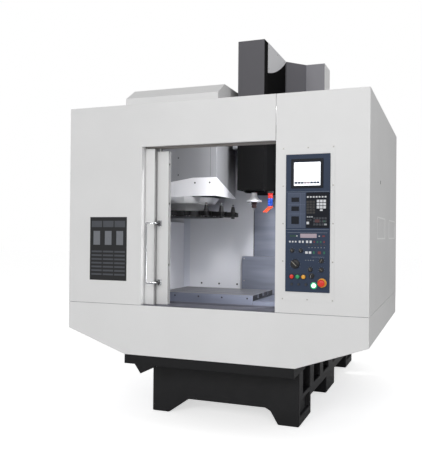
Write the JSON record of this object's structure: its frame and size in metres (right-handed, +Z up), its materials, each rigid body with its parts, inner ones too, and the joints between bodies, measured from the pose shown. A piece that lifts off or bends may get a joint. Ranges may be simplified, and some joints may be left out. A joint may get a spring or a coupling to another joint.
{
  "type": "cnc machining center",
  "caption": "Compact vertical machining centre: sheet-metal enclosure with a two-leaf sliding door, cross table, vertical head, umbrella tool magazine and side control panel.",
  "frame": {"origin": "on the floor, at the middle of the machine's width and of its whole depth", "axes": "+X to the operator's right, +Y away from the operator towards the back, +Z up"},
  "size_m": [1.9, 2.544, 2.59],
  "materials": {
    "cast_paint": "cast iron under black textured paint",
    "column_paint": "cast iron under dark grey paint",
    "white_panel": "light grey powder coat, fine texture",
    "skirt_paint": "light grey powder coat, fine texture",
    "inner_white": "pale grey gloss coat inside the chamber",
    "stainless": "brushed stainless sheet",
    "ground_steel": "ground steel",
    "dark_cover": "dark grey powder coat",
    "black_cover": "black satin paint",
    "light_plate": "light grey satin paint",
    "grey_cover": "mid grey powder coat",
    "tray_white": "bright white gloss paint",
    "housing_grey": "grey powder coat",
    "pan_black": "black paint",
    "panel_blue": "dark slate-blue powder coat",
    "screen_glass": "lit white screen behind a glossy pane",
    "key_plastic": "moulded key caps",
    "black_plastic": "black moulded plastic",
    "red_plastic": "red moulded plastic",
    "green_plastic": "green moulded plastic",
    "yellow_plastic": "yellow moulded plastic",
    "lit_plastic": "lit translucent white plastic",
    "door_glass": "clear laminated pane",
    "handle_metal": "satin anodised aluminium",
    "switch_metal": "chrome-plated barrel",
    "table_iron": "ground cast iron",
    "motor_black": "black motor paint",
    "hose_plastic": "orange, red and blue hose joints",
    "lamp_shell": "anodised lamp housing",
    "tool_steel": "hardened tool steel",
    "fork_plastic": "black glass-filled plastic forks"
  },
  "bodies": {
    "machine_frame": {"bed_casting": "cast_paint", "column_casting": "column_paint", "y_rails_and_screw": "ground_steel", "z_rails_and_screw": "ground_steel", "axis_motors": "motor_black", "coolant_pan": "pan_black", "chip_pan": "stainless", "column_top_cover": "grey_cover", "front_left_panel": "white_panel", "front_right_panel": "white_panel", "front_skirt": "skirt_paint", "left_side_panel": "white_panel", "right_side_panel": "white_panel", "lower_side_panels": "skirt_paint", "roof_panel": "white_panel", "roof_hood": "white_panel", "rear_panel": "white_panel", "inner_side_walls": "inner_white", "back_inner_panel": "inner_white", "rear_lower_guard": "stainless", "work_lamp": "lamp_shell", "door_tracks": "stainless", "control_mount_plate": "white_panel", "control_panel": "panel_blue", "screen": "screen_glass", "panel_keys": "key_plastic", "electrical_cabinet": "white_panel", "magazine_housing": "housing_grey", "magazine_lower_cover": "tray_white", "magazine_rails": "ground_steel"},
    "inner_door": {"door_leaf_inner": "white_panel", "door_window": "door_glass", "door_handle": "handle_metal"},
    "outer_door": {"door_leaf_outer": "white_panel"},
    "cross_saddle": {"saddle": "column_paint", "x_rails_and_screw": "ground_steel", "x_servo_motor": "motor_black"},
    "work_table": {"table": "table_iron"},
    "spindle_head": {"head_casting": "column_paint", "head_cover": "dark_cover", "head_side_covers": "black_cover", "head_wing_plates": "light_plate", "spindle_motor": "motor_black", "spindle_housing": "ground_steel", "coolant_nozzles": "hose_plastic", "z_way_cover": "stainless"},
    "spindle": {"spindle_nose": "tool_steel", "tool_holder": "tool_steel", "end_mill": "tool_steel"},
    "magazine_shuttle": {"magazine_carriage": "column_paint"},
    "magazine_rotor": {"carousel": "pan_black", "tool_forks": "fork_plastic"},
    "rear_door": {"cabinet_door": "white_panel"},
    "mode_switch": {"mode_knob": "black_plastic"},
    "key_lock": {"key_switch": "switch_metal"},
    "stop_button": {"emergency_stop": "red_plastic"},
    "cycle_start_button": {"start_button": "lit_plastic"},
    "red_push_button": {"red_button": "red_plastic"},
    "green_push_button": {"green_button": "green_plastic"},
    "yellow_push_button": {"yellow_button": "yellow_plastic"}
  },
  "joints": [
    {"name": "inner_door_slide", "type": "slide", "parent": "machine_frame", "child": "inner_door", "axis": [1, 0, 0], "range_m": [0, 0.712]},
    {"name": "outer_door_slide", "type": "slide", "parent": "machine_frame", "child": "outer_door", "axis": [1, 0, 0], "range_m": [0, 0.356]},
    {"name": "y_axis", "type": "slide", "parent": "machine_frame", "child": "cross_saddle", "axis": [0, 1, 0], "range_m": [-0.16, 0.27]},
    {"name": "x_axis", "type": "slide", "parent": "cross_saddle", "child": "work_table", "axis": [1, 0, 0], "range_m": [-0.018, 0.502]},
    {"name": "z_axis", "type": "slide", "parent": "machine_frame", "child": "spindle_head", "axis": [0, 0, 1], "range_m": [-0.45, 0]},
    {"name": "spindle_turn", "type": "hinge", "parent": "spindle_head", "child": "spindle", "pos_m": [0, -0.253, 1.417], "axis": [0, 0, 1], "continuous": true},
    {"name": "magazine_shift", "type": "slide", "parent": "machine_frame", "child": "magazine_shuttle", "axis": [1, 0, 0], "range_m": [0, 0.185]},
    {"name": "magazine_turn", "type": "hinge", "parent": "magazine_shuttle", "child": "magazine_rotor", "pos_m": [-0.53, -0.253, 1.325], "axis": [0, 0, 1], "continuous": true},
    {"name": "rear_door_hinge", "type": "hinge", "parent": "machine_frame", "child": "rear_door", "pos_m": [-0.508, 1.2573, 1.185], "axis": [0, 0, 1], "range_deg": [0, 110]},
    {"name": "mode_knob_turn", "type": "hinge", "parent": "machine_frame", "child": "mode_switch", "pos_m": [0.544, -1.234, 1.012], "axis": [0, -1, 0], "range_deg": [-90, 90]},
    {"name": "key_turn", "type": "hinge", "parent": "machine_frame", "child": "key_lock", "pos_m": [0.638, -1.234, 0.947], "axis": [0, -1, 0], "range_deg": [0, 90]},
    {"name": "emergency_stop_press", "type": "slide", "parent": "machine_frame", "child": "stop_button", "axis": [0, 1, 0], "range_m": [0, 0.004]},
    {"name": "start_button_press", "type": "slide", "parent": "machine_frame", "child": "cycle_start_button", "axis": [0, 1, 0], "range_m": [0, 0.004], "stiffness_N_per_m": 300},
    {"name": "red_button_press", "type": "slide", "parent": "machine_frame", "child": "red_push_button", "axis": [0, 1, 0], "range_m": [0, 0.004], "stiffness_N_per_m": 300},
    {"name": "green_button_press", "type": "slide", "parent": "machine_frame", "child": "green_push_button", "axis": [0, 1, 0], "range_m": [0, 0.004], "stiffness_N_per_m": 300},
    {"name": "yellow_button_press", "type": "slide", "parent": "machine_frame", "child": "yellow_push_button", "axis": [0, 1, 0], "range_m": [0, 0.004], "stiffness_N_per_m": 300}
  ],
  "couplings": [
    {"joint": "outer_door_slide", "follows": "inner_door_slide", "ratio": 0.5}
  ]
}
